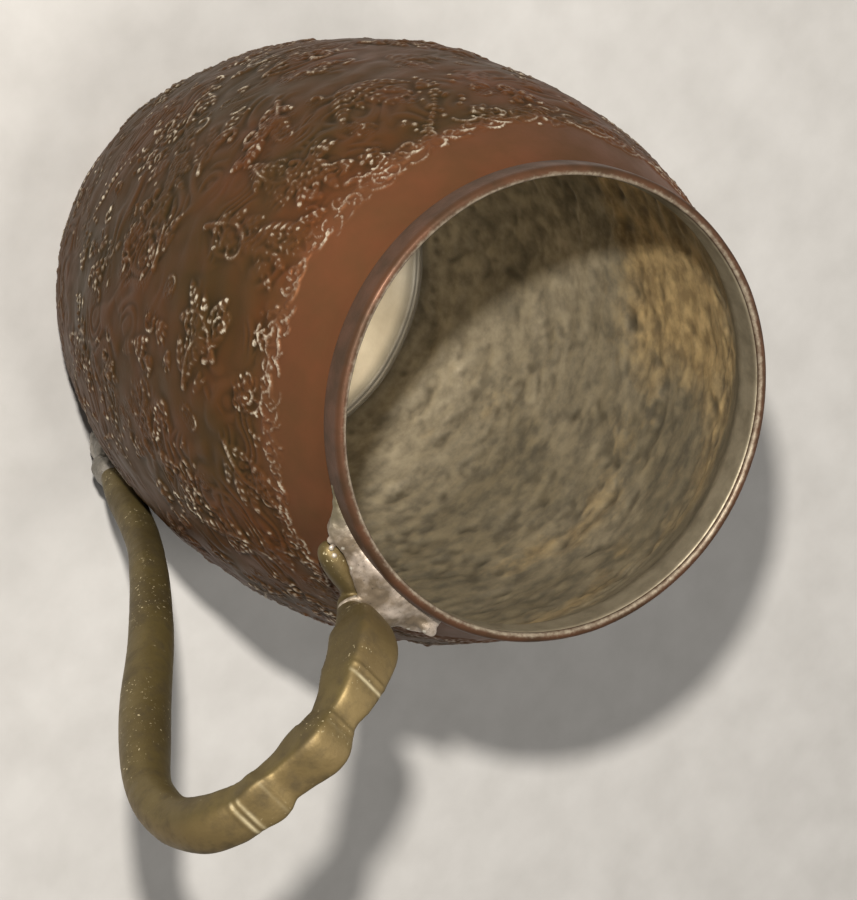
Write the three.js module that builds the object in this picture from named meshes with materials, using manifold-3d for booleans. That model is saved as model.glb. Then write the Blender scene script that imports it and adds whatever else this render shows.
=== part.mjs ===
// Raised copper mug with a cast brass handle, upright, base centre at the origin.
// Millimetres, +Z up, handle in the XZ plane on the +X side.
import * as THREE from "three";
import { mergeVertices } from "three/addons/utils/BufferGeometryUtils.js";
import Module from "manifold-3d";

const wasm = await Module();
wasm.setup();

// Driving dimensions
const gap = 0.3;
const mugHeight = 115.2;
const wall = 0.8;
const baseRadius = 34.5;
const bellyRadius = 46.0;
const bellyHeight = 58.0;
const neckRadius = 34.9;
const neckHeight = 109.4;
const lowerCurve = 2.1;
const upperCurve = 2.4;
const bandThickness = 0.5;
const bandBottom = 110.4;
const foldThickness = 0.8;
const baseThickness = 1.2;
const edgeRounding = 0.3;
const tongueHeight = 106.4;
const tongueHalf = 2.1;
const solderTop = 111.8;
const solderFoot = 106.3;
const roundSegments = 72;
const wallSteps = 16;
const barSides = 20;
const tongueSides = 14;
const clearance = 5;

// Outer radius of the raised wall at height z: a barrel, fuller above the belly
function wallRadius(z) {
  if (z < bellyHeight) {
    const drop = (bellyHeight - z) / bellyHeight;
    return bellyRadius - (bellyRadius - baseRadius) * Math.pow(drop, lowerCurve);
  }
  const rise = (z - bellyHeight) / (neckHeight - bellyHeight);
  return bellyRadius - (bellyRadius - neckRadius) * Math.pow(rise, upperCurve);
}

// Points of the outer wall from the base to the lip, moved out along the normal by offset
function wallLine(offset) {
  const nudge = 0.05;
  const points = [];
  for (let i = 0; i <= wallSteps; i += 1) {
    const z = (neckHeight * i) / wallSteps;
    const slope = (wallRadius(z + nudge) - wallRadius(z - nudge)) / (2 * nudge);
    const length = Math.hypot(1, slope);
    // The first point stays on the ground, as far out as the sloping wall is there
    const point = i === 0
      ? new THREE.Vector2(wallRadius(0) + offset * length, 0)
      : new THREE.Vector2(wallRadius(z) + offset / length, z - (offset * slope) / length);
    points.push(point);
  }
  return points;
}

// Closed body turned about the Z axis from a closed profile of radius, height points
function turned(profile) {
  const closed = [...profile, profile[0].clone()];
  const geometry = new THREE.LatheGeometry(closed, roundSegments);
  geometry.rotateX(Math.PI / 2);
  return geometry;
}

// Shared-vertex triangles of a geometry as a solid, turned right side out when needed
function solid(geometry) {
  geometry.deleteAttribute("normal");
  geometry.deleteAttribute("uv");
  const merged = mergeVertices(geometry, 1e-4);
  const corners = merged.index.array;
  const triangles = [];
  for (let i = 0; i < corners.length; i += 3) {
    const a = corners[i];
    const b = corners[i + 1];
    const c = corners[i + 2];
    if (a !== b && b !== c && c !== a) {
      triangles.push(a, b, c);
    }
  }
  const vertProperties = new Float32Array(merged.attributes.position.array);
  if (signedVolume(vertProperties, triangles) < 0) {
    triangles.reverse();
  }
  const triVerts = new Uint32Array(triangles);
  return new wasm.Manifold(new wasm.Mesh({ numProp: 3, vertProperties, triVerts }));
}

// Volume of a closed triangle mesh, negative when it is inside out
function signedVolume(positions, triangles) {
  let sum = 0;
  const a = new THREE.Vector3();
  const b = new THREE.Vector3();
  const c = new THREE.Vector3();
  for (let i = 0; i < triangles.length; i += 3) {
    a.fromArray(positions, triangles[i] * 3);
    b.fromArray(positions, triangles[i + 1] * 3);
    c.fromArray(positions, triangles[i + 2] * 3);
    sum += a.dot(b.cross(c)) / 6;
  }
  return sum;
}

// Largest body of a solid
function largest(whole) {
  const bodies = whole.decompose();
  bodies.sort((first, second) => second.volume() - first.volume());
  return bodies[0];
}

// Mesh of one sub-part from a solid
function meshOf(name, body, finish) {
  const data = body.getMesh();
  const geometry = new THREE.BufferGeometry();
  geometry.setAttribute("position", new THREE.BufferAttribute(data.vertProperties, 3));
  geometry.setIndex(new THREE.BufferAttribute(data.triVerts, 1));
  const flat = geometry.toNonIndexed();
  flat.computeVertexNormals();
  const mesh = new THREE.Mesh(flat, new THREE.MeshStandardMaterial(finish));
  mesh.name = name;
  return mesh;
}

// Closed tube through a list of rings, each a list of points, with a fan at each end
function skinned(rings) {
  const positions = [];
  const triangles = [];
  const count = rings[0].length;
  for (const ring of rings) {
    for (const point of ring) {
      positions.push(point.x, point.y, point.z);
    }
  }
  for (let row = 0; row + 1 < rings.length; row += 1) {
    for (let i = 0; i < count; i += 1) {
      const j = (i + 1) % count;
      const here = row * count;
      const next = here + count;
      triangles.push(here + i, here + j, next + j, here + i, next + j, next + i);
    }
  }
  for (const row of [0, rings.length - 1]) {
    const centre = new THREE.Vector3();
    for (const point of rings[row]) {
      centre.addScaledVector(point, 1 / count);
    }
    const middle = positions.length / 3;
    positions.push(centre.x, centre.y, centre.z);
    for (let i = 0; i < count; i += 1) {
      const a = row * count + i;
      const b = row * count + ((i + 1) % count);
      triangles.push(...(row === 0 ? [middle, b, a] : [middle, a, b]));
    }
  }
  const geometry = new THREE.BufferGeometry();
  geometry.setAttribute("position", new THREE.Float32BufferAttribute(positions, 3));
  geometry.setIndex(triangles);
  return solid(geometry);
}

// Ring of a rounded box section; power 2 is an ellipse, higher is squarer
function sectionRing(centre, across, depth, halfWidth, halfDepth, power, count) {
  const ring = [];
  for (let i = 0; i < count; i += 1) {
    const angle = ((i + 0.5) / count) * 2 * Math.PI;
    const c = Math.cos(angle);
    const s = Math.sin(angle);
    const reach = Math.pow(Math.pow(Math.abs(c), power) + Math.pow(Math.abs(s), power), -1 / power);
    const point = centre.clone();
    point.addScaledVector(across, halfWidth * reach * c);
    point.addScaledVector(depth, halfDepth * reach * s);
    ring.push(point);
  }
  return ring;
}

// Raised wall; its plain collar stands inside the rim band and stops under the band's fold
function bodyShell() {
  const top = mugHeight - foldThickness - gap;
  const outer = wallLine(0);
  outer.push(new THREE.Vector2(neckRadius, top));
  const inner = wallLine(-wall);
  inner.pop();
  inner.push(new THREE.Vector2(neckRadius - wall, neckHeight - wall));
  inner.push(new THREE.Vector2(neckRadius - wall, top));
  return solid(turned([...outer, ...inner.reverse()]));
}

// Flat bottom disc set inside the foot of the wall
function baseDisc() {
  const radius = wallLine(-wall - gap)[0].x;
  const profile = [
    new THREE.Vector2(0, 0),
    new THREE.Vector2(radius, 0),
    new THREE.Vector2(radius, baseThickness),
    new THREE.Vector2(0, baseThickness),
  ];
  return solid(turned(profile));
}

// Rim band: a strip round the collar, folded inwards over the edge of the wall
function rimBand() {
  const inside = neckRadius + gap;
  const outside = inside + bandThickness;
  const throat = neckRadius - wall;
  const foldBottom = mugHeight - foldThickness;
  const profile = [
    new THREE.Vector2(inside, bandBottom),
    new THREE.Vector2(outside, bandBottom),
    new THREE.Vector2(outside, mugHeight - bandThickness),
    new THREE.Vector2(outside - edgeRounding / 2, mugHeight - edgeRounding / 2),
    new THREE.Vector2(outside - bandThickness, mugHeight),
    new THREE.Vector2(throat + edgeRounding, mugHeight),
    new THREE.Vector2(throat, mugHeight - edgeRounding),
    new THREE.Vector2(throat, foldBottom),
    new THREE.Vector2(inside, foldBottom),
  ];
  return solid(turned(profile));
}

// Whole outside of the mug as one body, grown by the gap, used to trim what touches it
function mugEnvelope(grow) {
  const line = wallLine(grow);
  line[0].y = -clearance;
  const bandOuter = neckRadius + gap + bandThickness + grow;
  const profile = [
    new THREE.Vector2(0, -clearance),
    ...line,
    new THREE.Vector2(bandOuter, bandBottom - grow),
    new THREE.Vector2(bandOuter, mugHeight + clearance),
    new THREE.Vector2(0, mugHeight + clearance),
  ];
  return solid(turned(profile));
}

// Stations of the handle's smooth bar, from its lower end up to the bend.
// Each is x, z of the centre line, half width, half depth and squareness of the section.
const barStations = [
  [41.9, 10.5, 1.4, 1.2, 2.0],
  [44.6, 22.0, 2.6, 2.6, 2.0],
  [50.6, 44.1, 3.0, 2.9, 2.0],
  [61.3, 65.8, 3.5, 3.5, 2.0],
  [73.9, 85.7, 4.0, 4.0, 2.0],
  [80.8, 101.0, 3.6, 3.4, 2.0],
  [81.0, 113.3, 3.8, 3.7, 2.2],
  [76.0, 122.2, 4.1, 3.3, 2.8],
];

// Stations of the faceted arm, notched twice, from the bend to the neck under the rim
const armStations = [
  [73.4, 124.2, 3.65, 2.5, 3.4],
  [70.6, 125.7, 3.95, 2.1, 3.4],
  [68.0, 125.7, 3.15, 2.3, 3.4],
  [60.6, 127.5, 3.7, 3.3, 3.4],
  [56.8, 125.8, 2.75, 2.65, 3.4],
  [53.0, 124.2, 3.2, 3.4, 3.4],
  [48.2, 121.1, 4.05, 3.75, 3.4],
  [46.4, 119.6, 4.3, 3.8, 3.4],
  [44.9, 117.5, 4.15, 3.8, 3.4],
  [43.6, 115.0, 3.5, 3.7, 3.0],
  [43.1, 112.2, 2.65, 2.9, 2.6],
  [42.2, 109.6, 2.2, 2.3, 2.2],
  [40.8, 107.0, 2.1, 2.1, 2.0],
];

// Stations with as many more between each two as asked for, on one smooth curve
function smoothed(stations, between) {
  const line = new THREE.CatmullRomCurve3(stations.map(([x, z]) => new THREE.Vector3(x, 0, z)));
  const sizes = new THREE.CatmullRomCurve3(stations.map((row) => new THREE.Vector3(...row.slice(2))));
  line.curveType = "catmullrom";
  sizes.curveType = "catmullrom";
  const rows = [];
  const count = (stations.length - 1) * (between + 1);
  for (let i = 0; i <= count; i += 1) {
    const centre = line.getPoint(i / count);
    rows.push([centre.x, centre.z, ...sizes.getPoint(i / count).toArray()]);
  }
  return rows;
}

// Cast handle: the curved bar and the tongue that lies along the neck under the rim
function handleSolid(grow) {
  const stations = [...smoothed(barStations, 1), ...armStations];
  const rings = [];
  const across = new THREE.Vector3(0, 1, 0);
  const last = stations.length - 1;
  stations.forEach(([x, z, halfWidth, halfDepth, power], i) => {
    const before = stations[Math.max(i - 1, 0)];
    const after = stations[Math.min(i + 1, last)];
    const along = new THREE.Vector3(after[0] - before[0], 0, after[1] - before[1]).normalize();
    const centre = new THREE.Vector3(x, 0, z);
    if (i === 0 || i === last) {
      centre.addScaledVector(along, i === 0 ? -grow : grow);
    }
    const depth = new THREE.Vector3(-along.z, 0, along.x);
    rings.push(sectionRing(centre, across, depth, halfWidth + grow, halfDepth + grow, power, barSides));
  });
  // A grown handle comes almost up to the mug, so that what it trims keeps clear of both
  const nearMug = gap - grow * 0.9;
  return skinned(rings).add(tongueSolid(grow)).subtract(mugEnvelope(nearMug));
}

// Rounded tongue running round the neck from the end of the bar, rising a little to its tip
function tongueSolid(grow) {
  const radius = wallRadius(tongueHeight) + tongueHalf + gap;
  const fromAngle = 6;
  const toAngle = -15;
  const rise = 0.8;
  const steps = 9;
  const leastFullness = 0.25;
  const squareness = 2.2;
  const up = new THREE.Vector3(0, 0, 1);
  const rings = [];
  for (let i = 0; i <= steps; i += 1) {
    const part = i / steps;
    const bend = THREE.MathUtils.degToRad(fromAngle + (toAngle - fromAngle) * part);
    const across = new THREE.Vector3(Math.cos(bend), Math.sin(bend), 0);
    const centre = across.clone().multiplyScalar(radius);
    centre.z = tongueHeight + rise * part;
    const fullness = Math.max(leastFullness, Math.sqrt(1 - Math.pow(2 * part - 1, 4)));
    const half = tongueHalf * fullness + grow;
    rings.push(sectionRing(centre, across, up, half, half, squareness, tongueSides));
  }
  return skinned(rings);
}

// Outer edge of the rim solder going round the neck: angle in degrees, radius and height
const solderEdge = [
  [-28, 36.5, 111.0],
  [-22, 37.5, 110.4],
  [-16, 38.8, 109.6],
  [-9, 39.9, 109.2],
  [-2, 41.3, 109.8],
  [5, 41.0, 109.6],
  [10, 39.7, 109.2],
  [16, 39.0, 109.3],
  [20, 37.9, 109.4],
];

// Soft solder heaped between the rim band, the neck and the handle end
function upperSolder() {
  const shelf = neckRadius + 1.5;
  const edgeDepth = 1.6;
  const undercut = 0.9;
  const rings = solderEdge.map(([angle, reach, height]) => {
    const bend = THREE.MathUtils.degToRad(angle);
    const section = [
      [neckRadius, solderTop],
      [shelf, solderTop],
      [reach, height],
      [reach - undercut, height - edgeDepth],
      [shelf, solderFoot],
      [neckRadius, solderFoot],
    ];
    return section.map(([r, z]) => new THREE.Vector3(r * Math.cos(bend), r * Math.sin(bend), z));
  });
  const trimmed = skinned(rings).subtract(mugEnvelope(gap)).subtract(handleSolid(gap));
  return largest(trimmed);
}

// Soft solder holding the lower end of the handle to the foot of the wall
function lowerSolder() {
  const ball = new THREE.SphereGeometry(1, 24, 14);
  const halfSizes = [2.6, 4.0, 5.6];
  const lean = THREE.MathUtils.degToRad(20);
  const [footX, footZ] = barStations[0];
  ball.scale(...halfSizes);
  ball.rotateY(lean);
  ball.translate(footX - 1.7, 0, footZ);
  return largest(solid(ball).subtract(mugEnvelope(gap)).subtract(handleSolid(gap)));
}

const copper = { color: 0x7c4a34, roughness: 0.45, metalness: 1.0 };
const darkCopper = { color: 0x5f3a30, roughness: 0.4, metalness: 1.0 };
const tinned = { color: 0xcabfa6, roughness: 0.35, metalness: 1.0 };
const brass = { color: 0x7a6a3a, roughness: 0.4, metalness: 1.0 };
const solder = { color: 0xb8ab9e, roughness: 0.45, metalness: 0.9 };

const mug = new THREE.Group();
mug.name = "copper_mug";
mug.add(meshOf("body_shell", bodyShell(), copper));
mug.add(meshOf("base_disc", baseDisc(), tinned));
mug.add(meshOf("rim_band", rimBand(), darkCopper));
mug.add(meshOf("handle", largest(handleSolid(0)), brass));
mug.add(meshOf("upper_solder", upperSolder(), solder));
mug.add(meshOf("lower_solder", lowerSolder(), solder));

export default mug;
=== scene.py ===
import bpy
import bmesh
import math
import numpy as np
from mathutils import Matrix, Quaternion, Vector, noise


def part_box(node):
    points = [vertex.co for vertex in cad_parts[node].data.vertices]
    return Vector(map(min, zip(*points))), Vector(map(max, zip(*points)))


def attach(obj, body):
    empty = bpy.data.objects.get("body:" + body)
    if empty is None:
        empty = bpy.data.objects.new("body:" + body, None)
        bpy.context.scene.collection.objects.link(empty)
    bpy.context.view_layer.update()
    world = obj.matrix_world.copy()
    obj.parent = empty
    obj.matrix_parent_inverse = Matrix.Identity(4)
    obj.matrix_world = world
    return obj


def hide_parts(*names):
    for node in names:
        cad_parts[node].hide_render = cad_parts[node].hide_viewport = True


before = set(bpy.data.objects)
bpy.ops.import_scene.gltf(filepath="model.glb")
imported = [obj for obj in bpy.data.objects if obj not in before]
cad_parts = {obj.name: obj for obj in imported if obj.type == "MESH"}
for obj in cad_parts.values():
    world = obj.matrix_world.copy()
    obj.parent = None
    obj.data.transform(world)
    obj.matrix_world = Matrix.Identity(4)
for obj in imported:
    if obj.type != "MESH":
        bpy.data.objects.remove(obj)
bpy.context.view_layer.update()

# Sizes, in metres, measured on the frame
MM = 0.001
_shell_low, shell_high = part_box("body_shell")
_disc_low, disc_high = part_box("base_disc")
band_low, band_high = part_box("rim_band")
TOP = band_high.z
WALL_TOP = shell_high.z
BELLY_RADIUS = shell_high.x
BELLY_HEIGHT = 0.5035 * TOP
NECK_HEIGHT = band_low.z - 1.0 * MM
WALL = 0.8 * MM
LIP = WALL / 2
BAND_RADIUS = band_high.x
BAND_STEP = 0.8 * MM
NECK_RADIUS = BAND_RADIUS - BAND_STEP
LIP_MIDDLE = NECK_RADIUS - LIP
FOOT_STEP = 1.19 * MM
BASE_RADIUS = disc_high.x + FOOT_STEP

# How full the curves of the barrel are below and above the belly
LOWER_CURVE = 2.1
UPPER_CURVE = 2.4

# Every random draw comes from this one generator, so each run gives the same mug
RANDOM = np.random.default_rng(11)

# Fineness of the wall, outside and inside: points round, and rows from the foot to the neck,
# then rows on the collar above it and down the throat behind the collar
ROUND = 1300
ROWS = 520
COLLAR_ROWS = 3
INNER_ROUND = ROUND // 2
INNER_ROWS = 260
THROAT_ROWS = 9

# Camera: the mug is seen from above the handle's side, with the picture rolled
VIEW_AZIMUTH = math.radians(-72.34)
VIEW_ELEVATION = math.radians(60.32)
VIEW_ROLL = math.radians(116.16)
VIEW_DISTANCE = 0.5352
VIEW_AIM = Vector((0.0133, 0.0042, 0.7471 * TOP))
VIEW_LENS = 140.0


# ---------------------------------------------------------------- mug profile

def wall_radius(z):
    """Outer radius of the raised wall at height z, the same barrel as the CAD wall."""
    z = np.asarray(z, float)
    drop = np.clip((BELLY_HEIGHT - z) / BELLY_HEIGHT, 0, None)
    rise = np.clip((z - BELLY_HEIGHT) / (NECK_HEIGHT - BELLY_HEIGHT), 0, None)
    lower = BELLY_RADIUS - (BELLY_RADIUS - BASE_RADIUS) * drop ** LOWER_CURVE
    upper = BELLY_RADIUS - (BELLY_RADIUS - NECK_RADIUS) * rise ** UPPER_CURVE
    return np.where(z < BELLY_HEIGHT, lower, upper)


def wall_slope(z):
    """How fast the wall's radius grows with height."""
    step = 0.05 * MM
    return (wall_radius(z + step) - wall_radius(z - step)) / (2 * step)


def wall_heights(rows, high=NECK_HEIGHT):
    """Heights that divide the wall into rows of equal length along the metal."""
    samples = 2000
    fine = np.linspace(0.0, high, samples)
    run = np.concatenate([[0], np.cumsum(np.hypot(np.diff(fine), np.diff(wall_radius(fine))))])
    return np.interp(np.linspace(0, run[-1], rows), run, fine)


# ---------------------------------------------------------------- embossed relief

# A run is a distance up the metal from the foot, and the fields below hold one value for each
# row and each point round it
ROW_Z = wall_heights(ROWS)
ROW_RADIUS = wall_radius(ROW_Z)
COLUMN_ANGLE = np.arange(ROUND) * (2 * math.pi / ROUND)
ROW_RUN = np.concatenate([[0], np.cumsum(np.hypot(np.diff(ROW_Z), np.diff(ROW_RADIUS)))])
ROW_STEP = float(ROW_RUN[-1] / (ROWS - 1))
BORDER_HEIGHT = 0.858 * TOP
BORDER_RUN = float(np.interp(BORDER_HEIGHT, ROW_Z, ROW_RUN))
relief = np.zeros((ROWS, ROUND))
granules = np.zeros((ROWS, ROUND))


def radius_at(run):
    """The wall's radius at a run."""
    return float(np.interp(run, ROW_RUN, ROW_RADIUS))


def window(angle, run, reach):
    """Rows and columns within reach of a spot, with distances across and up to them."""
    row = int(round(run / ROW_STEP))
    half = int(reach / ROW_STEP) + 1
    rows = np.arange(max(0, row - half), min(ROWS, row + half + 1))
    if len(rows) == 0:
        return None
    radius = ROW_RADIUS[min(max(row, 0), ROWS - 1)]
    column_step = radius * 2 * math.pi / ROUND
    column = angle / (2 * math.pi) * ROUND
    wide = int(reach / column_step) + 1
    columns = np.arange(int(column) - wide, int(column) + wide + 2)
    across = (columns - column) * column_step
    up = ROW_RUN[rows] - run
    return rows, columns % ROUND, across[None, :], up[:, None]


def raise_to(field, angle, run, reach, shape):
    """Raises a field around a spot to shape(across, up)."""
    spot = window(angle, run, reach)
    if spot is None:
        return
    rows, columns, across, up = spot
    patch = np.ix_(rows, columns)
    field[patch] = np.maximum(field[patch], shape(across, up))


def dome(radius, height):
    """A round boss."""
    return lambda a, u: height * np.clip(1 - (a * a + u * u) / radius ** 2, 0, 1) ** 0.8


def plume(length, width, height, turn):
    """A feathered leaf: its stalk at the spot, a middle groove and slanting side veins."""
    vein_step = 1.5 * MM

    def shape(a, u):
        along = a * math.cos(turn) + u * math.sin(turn)
        side = np.abs(-a * math.sin(turn) + u * math.cos(turn))
        part = np.clip(along / length, 0, 1)
        half = width * np.sin(math.pi * part ** 0.7) ** 0.8 + 1e-9
        body = np.clip(1 - (side / half) ** 2, 0, 1) ** 0.8
        middle = np.exp(-(side / (0.14 * width)) ** 2)
        fringe = 0.5 + 0.5 * np.cos(2 * math.pi * (along - 0.8 * side) / vein_step)
        inside = (along > 0) & (along < length)
        return np.where(inside, height * body * (0.45 + 0.55 * fringe) * (1 - 0.45 * middle), 0)
    return shape


def ring(radius, width, height, start=0.0, sweep=2 * math.pi):
    """A raised ring, or a C-shaped part of one."""
    def shape(a, u):
        distance = np.abs(np.hypot(a, u) - radius)
        bearing = (np.arctan2(u, a) - start) % (2 * math.pi)
        return np.where(bearing < sweep, height * np.clip(1 - (distance / width) ** 2, 0, 1), 0)
    return shape


def trace(angle, run, heading, length, bend_from, bend_to, steps):
    """Spots along a curve whose bend, in radians per mm, changes on the way."""
    spots = []
    step = length / steps
    for i in range(steps + 1):
        spots.append((angle, run, heading))
        bend = (bend_from + (bend_to - bend_from) * (i / steps) ** 2) / MM
        angle += step * math.cos(heading) / radius_at(run)
        run += step * math.sin(heading)
        heading += bend * step
    return spots


def stroke(spots, width_from, width_to, height_from, height_to):
    """A ridge along spots, tapering from one width and height to another."""
    for i, (angle, run, _heading) in enumerate(spots):
        part = i / (len(spots) - 1)
        width = width_from + (width_to - width_from) * part
        height = height_from + (height_to - height_from) * part
        raise_to(relief, angle, run, width, dome(width, height))


def beads(spots, radius, height, every):
    """A chain of small bosses along spots, none quite like the next."""
    for angle, run, _heading in spots[::every]:
        size = radius * RANDOM.uniform(0.75, 1.15)
        raise_to(relief, angle, run, size, dome(size, height * RANDOM.uniform(0.6, 1.2)))


def rosette(angle, run, size, height):
    """A flower of six petals round a bead."""
    petals = 6
    turn = RANDOM.uniform(0, math.pi)
    for i in range(petals):
        bearing = turn + i * 2 * math.pi / petals
        raise_to(relief, angle, run, size * 1.2, plume(size, size * 0.34, height, bearing))
    raise_to(relief, angle, run, size * 0.3, dome(size * 0.3, height * 1.4))


def spray(angle, run, heading, hand, length):
    """A leafy scroll: a stem that curls up at its end, with leaves on both sides."""
    steps = 64
    first_leaf = 4
    last_leaf = 44
    spots = trace(angle, run, heading, length, 0.03 * hand, 0.9 * hand, steps)
    stroke(spots, 0.6 * MM, 0.4 * MM, 0.45 * MM, 0.4 * MM)
    for i in range(first_leaf, last_leaf, 5):
        a, r, h = spots[i]
        side = -hand if (i // 5) % 2 else hand
        size = RANDOM.uniform(3.2, 6.2) * MM
        bearing = h + side * RANDOM.uniform(0.45, 0.95)
        width = size * RANDOM.uniform(0.2, 0.3)
        height = RANDOM.uniform(0.35, 0.55) * MM
        raise_to(relief, a, r, size * 1.1, plume(size, width, height, bearing))
    a, r, _h = spots[-1]
    raise_to(relief, a, r, 0.7 * MM, dome(0.7 * MM, 0.5 * MM))


def fan(angle, run, heading, count, length):
    """Long leaves that open out side by side from one spot."""
    opening = 0.36
    for i in range(count):
        bearing = heading + (i - (count - 1) / 2) * opening
        reach = length * RANDOM.uniform(0.8, 1.1)
        raise_to(relief, angle, run, reach, plume(reach, 0.16 * reach, 0.45 * MM, bearing))


def curl_cluster(angle, run, spread_by, count):
    """Small C-shaped curls close together, on a grainy ground."""
    radius = radius_at(run)
    grain_reach = 1.9 * MM
    for _ in range(count):
        a = angle + RANDOM.normal(0, spread_by) / radius
        r = run + RANDOM.normal(0, spread_by)
        size = RANDOM.uniform(0.45, 1.5) * MM
        start = RANDOM.uniform(0, 2 * math.pi)
        sweep = RANDOM.uniform(1.3, 4.2)
        height = RANDOM.uniform(0.22, 0.42) * MM
        width = RANDOM.uniform(0.22, 0.32) * MM
        raise_to(relief, a, r, size + width, ring(size, width, height, start, sweep))
        raise_to(granules, a, r, grain_reach, dome(grain_reach, 1.0))


def grainy_patch(angle, run, spread_by, count):
    """Scattered bosses, like seeds."""
    radius = radius_at(run)
    for _ in range(count):
        a = angle + RANDOM.normal(0, spread_by) / radius
        r = run + RANDOM.normal(0, spread_by)
        size = RANDOM.uniform(0.35, 0.6) * MM
        raise_to(relief, a, r, size, dome(size, RANDOM.uniform(0.2, 0.42) * MM))


def emboss_border():
    """The curly edge of the pattern below the plain shoulder, in scallops of uneven height."""
    scallops = 14
    steps = 44
    for k in range(scallops):
        middle = (k + 0.5 + RANDOM.uniform(-0.2, 0.2)) * 2 * math.pi / scallops
        rise = RANDOM.uniform(-1.6, 1.4) * MM
        for hand in (-1, 1):
            heading = 0.0 if hand > 0 else math.pi
            bend = RANDOM.uniform(0.06, 0.14) * hand
            spots = trace(middle, BORDER_RUN + rise, heading, 10 * MM, -0.02 * hand, -bend, steps)
            for i in range(2, steps, 4):
                a, r, _h = spots[i]
                curl_cluster(a, r + RANDOM.uniform(-0.9, 0.5) * MM, 0.4 * MM, 1 + i % 2)
            for i in range(6, steps, 12):
                a, r, h = spots[i]
                turn = h + hand * RANDOM.uniform(0.4, 1.2)
                arc = trace(a, r, turn, RANDOM.uniform(3, 6) * MM, -0.2 * hand, -0.8 * hand, 40)
                stroke(arc, 0.30 * MM, 0.24 * MM, 0.42 * MM, 0.32 * MM)
        curl_cluster(middle, BORDER_RUN + rise - 2.2 * MM, 1.6 * MM, 6)
        grainy_patch(middle, BORDER_RUN + rise - 2.0 * MM, 2.0 * MM, 14)
        between = middle + math.pi / scallops
        rosette(between, BORDER_RUN - 4.4 * MM, RANDOM.uniform(1.5, 2.2) * MM, 0.4 * MM)
        curl_cluster(between, BORDER_RUN - 3.0 * MM, 1.3 * MM, 7)


def emboss_field():
    """Scrolls, leaves, flowers, curls and seeds over the body of the mug, in staggered rings."""
    rings = 8
    count = 16
    low = 4.0 * MM
    for level in range(rings):
        middle = low + (BORDER_RUN - 5 * MM - low) * (level + 0.5) / rings
        for k in range(count):
            angle = (k + 0.5 * (level % 2) + RANDOM.uniform(-0.3, 0.3)) * 2 * math.pi / count
            run = middle + RANDOM.uniform(-3, 3) * MM
            heading = RANDOM.uniform(0, 2 * math.pi)
            hand = 1 if RANDOM.random() < 0.5 else -1
            kind = (k * 5 + level * 3) % 8
            if kind in (0, 3, 6):
                spray(angle, run, heading, hand, RANDOM.uniform(13, 19) * MM)
            elif kind in (1, 4):
                fan(angle, run, heading, int(RANDOM.integers(3, 6)), RANDOM.uniform(8, 12) * MM)
            elif kind == 2:
                rosette(angle, run, RANDOM.uniform(2.4, 3.4) * MM, 0.5 * MM)
                curl_cluster(angle, run, 3.0 * MM, 10)
            elif kind == 5:
                curl_cluster(angle, run, 2.4 * MM, 18)
                grainy_patch(angle, run, 3.2 * MM, 26)
            else:
                spots = trace(angle, run, heading, 14 * MM, 0.1 * hand, -0.25 * hand, 50)
                beads(spots, 0.5 * MM, 0.4 * MM, 4)
                grainy_patch(angle, run, 3.6 * MM, 30)


def emboss_curls():
    """Single curls and small tufts scattered over the whole pattern."""
    tufts = 420
    for _ in range(tufts):
        angle = RANDOM.uniform(0, 2 * math.pi)
        run = RANDOM.uniform(5 * MM, BORDER_RUN - 2 * MM)
        if RANDOM.random() < 0.55:
            curl_cluster(angle, run, 0.9 * MM, int(RANDOM.integers(1, 5)))
        else:
            heading = RANDOM.uniform(0, 2 * math.pi)
            fan(angle, run, heading, int(RANDOM.integers(2, 5)), RANDOM.uniform(3, 6) * MM)


def emboss_foot():
    """A row of beads above the foot."""
    count = 96
    run = 4.0 * MM
    size = 0.75 * MM
    for k in range(count):
        raise_to(relief, k * 2 * math.pi / count, run, size, dome(size, 0.3 * MM))


def soften(field, reach):
    """Spreads a field by about the given distance, round the mug and up and down it."""
    passes = max(1, round(2 * (reach / ROW_STEP) ** 2))
    for _ in range(passes):
        field = 0.25 * np.roll(field, 1, 1) + 0.5 * field + 0.25 * np.roll(field, -1, 1)
        padded = np.pad(field, ((1, 1), (0, 0)), mode="edge")
        field = 0.25 * padded[:-2] + 0.5 * padded[1:-1] + 0.25 * padded[2:]
    return field


def waves(count, most_around, most_along):
    """A smooth random field between -1 and 1 that closes round the mug."""
    field = np.zeros((ROWS, ROUND))
    for _ in range(count):
        around = int(RANDOM.integers(1, most_around + 1))
        along = RANDOM.uniform(-1, 1) * most_along
        phase = RANDOM.uniform(0, 2 * math.pi)
        size = 1 / (1 + 0.12 * around)
        field += size * np.sin(around * COLUMN_ANGLE[None, :] + along * ROW_RUN[:, None] + phase)
    return field / np.abs(field).max()


def folds(lines, count, most_around, most_along, sharpness):
    """Soft ridges that run side by side along flowing lines, like creased cloth."""
    crest = 0.5 + 0.5 * np.cos(2 * math.pi * lines * waves(count, most_around, most_along))
    return crest ** sharpness


def patches(share, count, most_around, most_along):
    """A mask of soft-edged islands that cover about the given share of the wall."""
    field = waves(count, most_around, most_along)
    level = np.quantile(field, 1 - share)
    return np.clip(0.5 + (field - level) / (0.5 * field.std()), 0, 1)


def pattern_zone():
    """One over the pattern, fading to nothing at the foot and the plain shoulder."""
    top = np.interp(ROW_RUN, [BORDER_RUN - 3 * MM, BORDER_RUN], [1, 0])
    foot = np.interp(ROW_RUN, [1.5 * MM, 4.5 * MM], [0, 1])
    return (top * foot)[:, None]


emboss_border()
emboss_field()
emboss_curls()
emboss_foot()

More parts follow.
